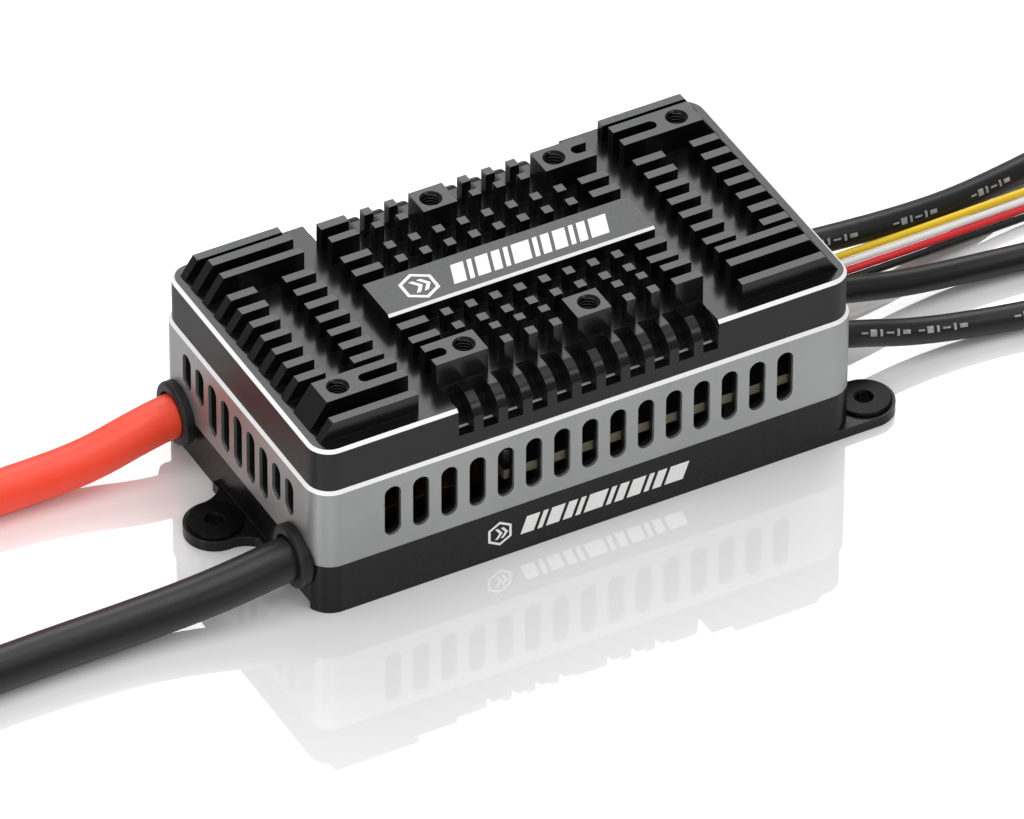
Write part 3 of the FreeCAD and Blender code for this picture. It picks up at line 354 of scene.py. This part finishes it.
def band_material():
    """Satin anodised aluminium with a bright cut edge along its top; the inner faces of the walls are painted
    near-black as shade inside the case.
    """
    m, t, s = material("band_anodised")
    co = node(t, "ShaderNodeTexCoord")
    sep = node(t, "ShaderNodeSeparateXYZ")
    t.links.new(co.outputs["Object"], sep.inputs[0])
    geo = node(t, "ShaderNodeNewGeometry")
    nrm = node(t, "ShaderNodeSeparateXYZ")
    t.links.new(geo.outputs["True Normal"], nrm.inputs[0])
    high = remap(t, sep.outputs["Z"], 0.0, 1.0, 0.03195, 0.03205)
    tilt = mul(t, remap(t, nrm.outputs["Z"], 0.0, 1.0, 0.55, 0.65), remap(t, nrm.outputs["Z"], 1.0, 0.0, 0.8, 0.85))
    edge = mul(t, high, tilt)
    fine = noise(t, 2400.0, 3.0, 0.7)
    slow = noise(t, 25.0, 4.0, 0.6)
    body = two_colours(t, slow, (0.31, 0.32, 0.317), (0.36, 0.37, 0.365))
    mx = node(t, "ShaderNodeMix", data_type="RGBA")
    t.links.new(edge, mx.inputs["Factor"])
    t.links.new(body, mx.inputs[6])
    mx.inputs[7].default_value = (0.95, 0.95, 0.95, 1)
    ax, ay = (node(t, "ShaderNodeMath", operation="ABSOLUTE") for _ in "xy")
    t.links.new(sep.outputs["X"], ax.inputs[0])
    t.links.new(sep.outputs["Y"], ay.inputs[0])
    # painted shade: faces more than about half a millimetre inside the outer walls are near-black and not metallic,
    # standing in for the shade inside the case
    painted_shade_long_walls = mul(t, remap(t, ay.outputs[0], 1.0, 0.0, 0.03525, 0.03545), remap(t, ax.outputs[0], 1.0, 0.0, 0.0560, 0.0565))
    painted_shade_end_walls = mul(t, remap(t, ax.outputs[0], 1.0, 0.0, 0.06420, 0.06440), remap(t, ay.outputs[0], 1.0, 0.0, 0.0295, 0.0300))
    painted_shade_inside = node(t, "ShaderNodeMath", operation="MAXIMUM")
    t.links.new(painted_shade_long_walls, painted_shade_inside.inputs[0])
    t.links.new(painted_shade_end_walls, painted_shade_inside.inputs[1])
    painted_shade_mix = node(t, "ShaderNodeMix", data_type="RGBA")
    t.links.new(painted_shade_inside.outputs[0], painted_shade_mix.inputs["Factor"])
    t.links.new(mx.outputs[2], painted_shade_mix.inputs[6])
    painted_shade_mix.inputs[7].default_value = (0.006, 0.006, 0.006, 1)
    t.links.new(painted_shade_mix.outputs[2], s.inputs["Base Color"])
    # not metallic on the cut edge and on the painted shade inside
    bare = node(t, "ShaderNodeMath", operation="MAXIMUM")
    t.links.new(edge, bare.inputs[0])
    t.links.new(painted_shade_inside.outputs[0], bare.inputs[1])
    t.links.new(remap(t, bare.outputs[0], 0.8, 0.0, 0.0, 1.0), s.inputs["Metallic"])
    t.links.new(remap(t, fine, 0.38, 0.50), s.inputs["Roughness"])
    bump(t, s, [(fine, 0.12, 0.000012)], 0.0002)
    return m


give(["middle_frame"], band_material())
give(["mounting_bushes"], bush)
give(["case_screws"], oxide)
give(["input_grommet_positive", "input_grommet_negative", "output_grommet_a", "output_grommet_b", "output_grommet_c", "signal_grommet"], rubber)


def board_material():
    """Solder mask on both faces and bare laminate on the cut edges, both darkened as painted shade for the inside of
    the case.
    """
    m, t, s = material("power_board_mask")
    geo = node(t, "ShaderNodeNewGeometry")
    nrm = node(t, "ShaderNodeSeparateXYZ")
    t.links.new(geo.outputs["True Normal"], nrm.inputs[0])
    flat = node(t, "ShaderNodeMath", operation="ABSOLUTE")
    t.links.new(nrm.outputs["Z"], flat.inputs[0])
    fine = noise(t, 1500.0, 3.0, 0.6)
    mx = node(t, "ShaderNodeMix", data_type="RGBA")
    t.links.new(remap(t, flat.outputs[0], 0.0, 1.0, 0.6, 0.7), mx.inputs["Factor"])
    # painted shade: the laminate tan and the near-black faces are kept dim to stand in for the shade inside the case
    t.links.new(two_colours(t, fine, (0.16, 0.14, 0.10), (0.27, 0.24, 0.17)), mx.inputs[6])
    t.links.new(two_colours(t, noise(t, 60.0, 4.0), (0.005, 0.007, 0.006), (0.009, 0.012, 0.010)), mx.inputs[7])
    t.links.new(mx.outputs[2], s.inputs["Base Color"])
    t.links.new(remap(t, fine, 0.35, 0.5), s.inputs["Roughness"])
    bump(t, s, [(fine, 0.15, 0.00003)], 0.0001)
    return m


give(["power_board"], board_material())
give(["control_board", "capacitor_board"], board_painted_shade)
give(["board_standoffs"], brass)
give(["board_screws"], zinc)
give(["mosfets", "control_chips"], chip)
give(["thermal_pad"], pad)
give(["current_shunts"], shunt)
give(["board_insulator"], film_painted_shade)
give(["capacitors"], can)
give(["capacitor_sleeves"], sleeve)
give(["bus_bar_positive", "bus_bar_negative", "input_terminals", "phase_terminals"], copper)
give(["signal_header"], nylon)
give(["header_pins", "signal_contacts"], contact)
give(["signal_plug"], plug_black)
give(["power_tip_positive", "power_tip_negative", "phase_tip_a", "phase_tip_b", "phase_tip_c"], tinned)


def silicone(name, a, b, rough=(0.30, 0.42), specular=0.5, deep=0.0):
    m, t, s = material(name)
    if deep:
        s.inputs["Subsurface Weight"].default_value = deep
        s.inputs["Subsurface Radius"].default_value = (1.0, 1.0, 1.0)
        s.inputs["Subsurface Scale"].default_value = 0.002
    s.inputs["Specular IOR Level"].default_value = specular
    t.links.new(two_colours(t, noise(t, 30.0, 4.0, 0.6), a, b), s.inputs["Base Color"])
    fine = noise(t, 1500.0, 3.0, 0.6)
    slow = noise(t, 90.0, 3.0, 0.5)
    t.links.new(remap(t, fine, rough[0], rough[1]), s.inputs["Roughness"])
    bump(t, s, [(fine, 0.08, 0.000006), (slow, 0.12, 0.0002)])
    return m


leads["power_lead_positive"].data.materials.append(silicone("silicone_red", (0.93, 0.060, 0.025), (0.99, 0.085, 0.035), (0.38, 0.5), deep=0.45))
silicone_black = silicone("silicone_black", (0.004, 0.004, 0.0044), (0.007, 0.007, 0.0075), (0.33, 0.43), 0.42)
for n in ("power_lead_negative", "phase_lead_a", "phase_lead_b", "phase_lead_c"):
    leads[n].data.materials.append(silicone_black)
leads["signal_wire_yellow"].data.materials.append(silicone("silicone_yellow", (0.86, 0.55, 0.015), (0.92, 0.60, 0.02), deep=0.4))
leads["signal_wire_white"].data.materials.append(silicone("silicone_white", (0.95, 0.95, 0.94), (0.98, 0.98, 0.97), deep=0.5))
leads["signal_wire_red"].data.materials.append(silicone("silicone_wire_red", (0.70, 0.02, 0.025), (0.78, 0.03, 0.035), deep=0.3))
leads["signal_wire_black"].data.materials.append(silicone_black)

# ------------------------------------------------------------------ generic printed marks
ink, t, s = material("white_ink")
fine = noise(t, 1800.0, 3.0, 0.6)
t.links.new(two_colours(t, fine, (0.78, 0.78, 0.77), (0.9, 0.9, 0.89)), s.inputs["Base Color"])
t.links.new(remap(t, fine, 0.4, 0.55), s.inputs["Roughness"])
bump(t, s, [(fine, 0.2, 0.00001)])


def outline_mesh(name, polys, place, thick=0.00006):
    """Thin printed shapes: each poly is an outline in mm in the mark's own plane."""
    me = bpy.data.meshes.new(name)
    bm = bmesh.new()
    for pts in polys:
        lo = [bm.verts.new(place(x, y, 0.0)) for x, y in pts]
        hi = [bm.verts.new(place(x, y, thick)) for x, y in pts]
        bm.faces.new(hi)
        bm.faces.new(list(reversed(lo)))
        n = len(pts)
        for i in range(n):
            bm.faces.new((lo[i], lo[(i + 1) % n], hi[(i + 1) % n], hi[i]))
    bmesh.ops.recalc_face_normals(bm, faces=bm.faces)
    bm.to_mesh(me)
    bm.free()
    o = bpy.data.objects.new(name, me)
    bpy.context.scene.collection.objects.link(o)
    o.data.materials.append(ink)
    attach(o, "root")
    return o


def mark(cx, cy, h, span):
    """A hexagon frame with two bolts of chevrons, then a row of slanted bars: no letters."""
    polys = []
    R, r = h * 0.62, h * 0.50
    hexa = lambda rr, k: (cx + rr * math.cos(math.radians(60 * k + 30)), cy + rr * math.sin(math.radians(60 * k + 30)))
    for k in range(6):
        polys.append([hexa(R, k + 0.0), hexa(R, k + 1.0), hexa(r, k + 1.0), hexa(r, k + 0.0)])
    for dx in (-0.22, 0.04):
        x = cx + dx * h
        w = 0.14 * h
        polys.append([(x, cy + 0.27 * h), (x + w, cy + 0.27 * h), (x + w + 0.2 * h, cy), (x + 0.2 * h, cy)])
        polys.append([(x + 0.2 * h, cy), (x + w + 0.2 * h, cy), (x + w, cy - 0.27 * h), (x, cy - 0.27 * h)])
    x = cx + 0.95 * h
    end = cx + span
    sl = 0.30 * h
    hh = 0.42 * h
    widths = [1.5, 0.55, 1.5, 1.0, 0.55, 2.1, 0.55, 1.0, 1.5, 0.55, 1.0, 2.1]
    unit = (end - x) / (sum(widths) + 0.42 * len(widths))
    for w in widths:
        a = x
        b = x + w * unit
        polys.append([(a, cy - hh), (b, cy - hh), (b + sl, cy + hh), (a + sl, cy + hh)])
        x = b + 0.42 * unit
    return polys


outline_mesh("top_mark", mark(-21.6, 0.0, 7.2, 45.0), lambda x, y, d: Vector((x * MM, y * MM, 47.95 * MM + d)))
outline_mesh("tray_mark", mark(-21.6, 6.5, 5.2, 45.0), lambda x, y, d: Vector((x * MM, -36.1 * MM - d, y * MM)))

# ------------------------------------------------------------------ plain dashes where the output leads carry print
grey, t, s = material("lead_print")
fine = noise(t, 1400.0, 3.0, 0.7)
t.links.new(two_colours(t, fine, (0.20, 0.20, 0.20), (0.42, 0.42, 0.41)), s.inputs["Base Color"])
t.links.new(remap(t, fine, 0.45, 0.6), s.inputs["Roughness"])
bump(t, s, [(fine, 0.2, 0.00001)])


def dashes(name, route, r, spans, turn=0.0):
    """Short strips on the lead's skin, each (from x, to x, half width) in mm, on the side that faces up and forward."""
    P = [Vector(p) * MM for p in route]
    line, m = [], len(P)
    for i in range(m - 2):
        a = P[0] if i == 0 else (P[i] + P[i + 1]) / 2
        b = P[-1] if i == m - 3 else (P[i + 1] + P[i + 2]) / 2
        for k in range(60):
            u = k / 60.0
            line.append(a * (1 - u) ** 2 + P[i + 1] * (2 * u * (1 - u)) + b * u * u)

    def at(x):
        for p, q in zip(line, line[1:]):
            if p.x <= x <= q.x:
                return p.lerp(q, (x - p.x) / (q.x - p.x)), (q - p).normalized()

    me = bpy.data.meshes.new(name)
    bm = bmesh.new()
    for x0, x1, half in spans:
        rows = []
        for i in range(7):
            p, d = at((x0 + (x1 - x0) * i / 6.0) * MM)
            n = (back - d * back.dot(d)).normalized()
            side = d.cross(n)
            row = []
            for k in (-1.0, -0.33, 0.33, 1.0):
                f = turn + k * half / r
                row.append(bm.verts.new(p + (n * math.cos(f) + side * math.sin(f)) * (r * MM + 0.00003)))
            rows.append(row)
        for u, v in zip(rows, rows[1:]):
            for k in range(3):
                bm.faces.new((u[k], v[k], v[k + 1], u[k + 1]))
    bmesh.ops.recalc_face_normals(bm, faces=bm.faces)
    bm.to_mesh(me)
    bm.free()
    o = bpy.data.objects.new(name, me)
    bpy.context.scene.collection.objects.link(o)
    thick = o.modifiers.new("thickness", "SOLIDIFY")
    thick.thickness = 0.00004
    thick.offset = 0.0
    o.data.materials.append(grey)
    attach(o, "root")
    return o


row = [(0.0, 1.5, 0.2), (2.1, 3.6, 0.75), (4.4, 5.0, 0.75), (5.8, 7.6, 0.2), (8.4, 9.0, 0.75), (9.8, 11.6, 0.45)]
dashes("print_a", LEADS["phase_lead_a"], 3.0, [(x0 + k, x1 + k, w) for k in (76.0, 89.5, 112.0, 136.0, 160.0) for x0, x1, w in row])
dashes("print_c", LEADS["phase_lead_c"], 3.0, [(x0 + k, x1 + k, w) for k in (80.0, 100.5, 122.0, 146.0, 170.0) for x0, x1, w in row], 0.25)

# ------------------------------------------------------------------ threads in the cover's holes
def thread(name, x, y, z0, z1, r, pitch):
    cu = bpy.data.curves.new(name, "CURVE")
    cu.dimensions = "3D"
    cu.bevel_depth = 0.16
    cu.bevel_resolution = 2
    sp = cu.splines.new("POLY")
    turns = (z1 - z0) / pitch
    n = int(turns * 28)
    sp.points.add(n)
    for i, p in enumerate(sp.points):
        a = 2 * math.pi * turns * i / n
        p.co = ((x + r * math.cos(a)) * MM, (y + r * math.sin(a)) * MM, (z0 + (z1 - z0) * i / n) * MM, 1)
        p.radius = MM
    o = bpy.data.objects.new(name, cu)
    bpy.context.scene.collection.objects.link(o)
    o.data.materials.append(black_anodised)
    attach(o, "root")
    return o


for i, (x, y) in enumerate(((-53.3, -23.3), (-23.4, -23.3), (6.4, -23.3), (-6.4, 23.3), (23.4, 23.3), (53.3, 23.3))):
    thread("thread_%d" % (i + 1), x, y, 41.5, 48.9, 2.08, 0.8)

# ------------------------------------------------------------------ floor and light
floor_me = bpy.data.meshes.new("floor")
bm = bmesh.new()
bmesh.ops.create_grid(bm, x_segments=1, y_segments=1, size=6.0)
bm.to_mesh(floor_me)
bm.free()
floor = bpy.data.objects.new("floor", floor_me)
floor.location = (0, 0, -0.00005)
bpy.context.scene.collection.objects.link(floor)
m, t, s = material("floor_white")
f = noise(t, 3.0, 2.0)
t.links.new(two_colours(t, f, (0.93, 0.93, 0.93), (0.94, 0.94, 0.94)), s.inputs["Base Color"])
s.inputs["Roughness"].default_value = 0.025
s.inputs["IOR"].default_value = 2.4
floor.data.materials.append(m)

world = bpy.data.worlds.new("studio")
bpy.context.scene.world = world
world.use_nodes = True
bg = world.node_tree.nodes["Background"]
bg.inputs["Color"].default_value = (1, 1, 1, 1)
bg.inputs["Strength"].default_value = 0.35


def area(name, pos, target, sx, sy, power, colour=(1, 1, 1)):
    d = bpy.data.lights.new(name, "AREA")
    d.shape = "RECTANGLE"
    d.size, d.size_y = sx, sy
    d.energy = power
    d.color = colour
    o = bpy.data.objects.new(name, d)
    bpy.context.scene.collection.objects.link(o)
    o.location = pos
    o.rotation_euler = (Vector(target) - Vector(pos)).to_track_quat("-Z", "Y").to_euler()
    return o


# floor light: a high lamp that keeps the floor white; the tops mirror the bright panel behind the part
area("overhead", (0.0, -0.1, 1.6), (0, 0, 0), 1.2, 1.2, 12.0)
area("rear_panel", (0.62, 1.15, 1.25), (0, 0, 0.04), 1.5, 0.9, 14.0)
area("front_high", (0.50, -0.85, 1.05), (0, -0.02, 0.03), 0.45, 0.35, 1.3)
area("front_fill", (-0.5, -1.2, 0.8), (0, 0, 0.02), 0.9, 0.6, 3.0)
area("left_strip", (-0.75, -0.28, 0.28), (-0.05, -0.03, 0.03), 0.10, 0.5, 1.9)
